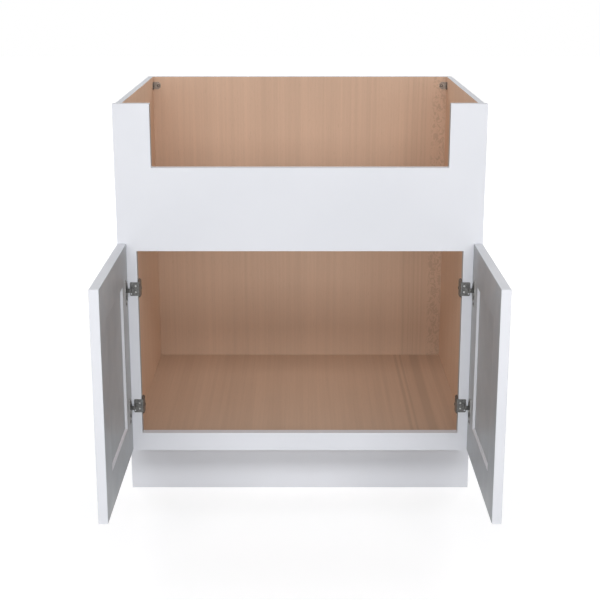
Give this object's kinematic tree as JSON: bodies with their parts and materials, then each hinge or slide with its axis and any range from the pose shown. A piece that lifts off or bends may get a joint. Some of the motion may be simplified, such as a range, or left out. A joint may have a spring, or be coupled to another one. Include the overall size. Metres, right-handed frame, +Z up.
{
  "type": "sink base cabinet",
  "caption": "Kitchen base cabinet for an apron-front sink, with an open top, a notched front board and framed doors on concealed hinges.",
  "frame": {"origin": "rear bottom centre of the cabinet, where the wall meets the floor", "axes": "+X to the right as seen from the front, +Y into the wall, +Z up"},
  "size_m": [0.762, 0.9918, 0.8763],
  "materials": {
    "white_paint": "smooth satin white paint on wood",
    "wood_print": "satin printed light-brown wood grain on board, vertical on the walls and front to back on the floor",
    "dowel_beech": "bare fluted wood, hidden",
    "hinge_steel": "dull plated pressed steel",
    "hinge_block": "dark plated metal",
    "bracket_steel": "dull grey-brown plated steel",
    "bright_screw": "bright plated steel"
  },
  "bodies": {
    "cabinet": {"apron_board": "white_paint", "back_panel": "wood_print", "bottom_rail": "white_paint", "corner_bracket_screws": "bright_screw", "floor_panel": "wood_print", "frame_dowels": "dowel_beech", "hinge_arm_rivets": "bright_screw", "hinge_edge_screws": "bright_screw", "hinge_plate_screws": "bright_screw", "left_corner_bracket": "bracket_steel", "left_lower_hinge_arm": "hinge_steel", "left_lower_hinge_edge_block": "hinge_block", "left_lower_hinge_plate": "hinge_steel", "left_side_panel": "wood_print", "left_stile": "white_paint", "left_upper_hinge_arm": "hinge_steel", "left_upper_hinge_edge_block": "hinge_block", "left_upper_hinge_plate": "hinge_steel", "right_corner_bracket": "bracket_steel", "right_lower_hinge_arm": "hinge_steel", "right_lower_hinge_edge_block": "hinge_block", "right_lower_hinge_plate": "hinge_steel", "right_side_panel": "wood_print", "right_stile": "white_paint", "right_upper_hinge_arm": "hinge_steel", "right_upper_hinge_edge_block": "hinge_block", "right_upper_hinge_plate": "hinge_steel", "toe_kick_board": "wood_print", "toe_kick_cover": "white_paint"},
    "left_door": {"left_door_bottom_rail": "white_paint", "left_door_hinge_stile": "white_paint", "left_door_meeting_stile": "white_paint", "left_door_panel": "white_paint", "left_door_top_rail": "white_paint", "left_hinge_cup_screws": "bright_screw", "left_lower_hinge_cup": "hinge_steel", "left_lower_hinge_pin": "bright_screw", "left_upper_hinge_cup": "hinge_steel", "left_upper_hinge_pin": "bright_screw"},
    "right_door": {"right_door_bottom_rail": "white_paint", "right_door_hinge_stile": "white_paint", "right_door_meeting_stile": "white_paint", "right_door_panel": "white_paint", "right_door_top_rail": "white_paint", "right_hinge_cup_screws": "bright_screw", "right_lower_hinge_cup": "hinge_steel", "right_lower_hinge_pin": "bright_screw", "right_upper_hinge_cup": "hinge_steel", "right_upper_hinge_pin": "bright_screw"}
  },
  "joints": [
    {"name": "left_door_hinge", "type": "hinge", "parent": "cabinet", "child": "left_door", "pos_m": [-0.3712, -0.6222, 0.3595], "axis": [0, 0, -1], "range_deg": [-90, 15]},
    {"name": "right_door_hinge", "type": "hinge", "parent": "cabinet", "child": "right_door", "pos_m": [0.3712, -0.6222, 0.3595], "axis": [0, 0, 1], "range_deg": [-90, 15]}
  ]
}
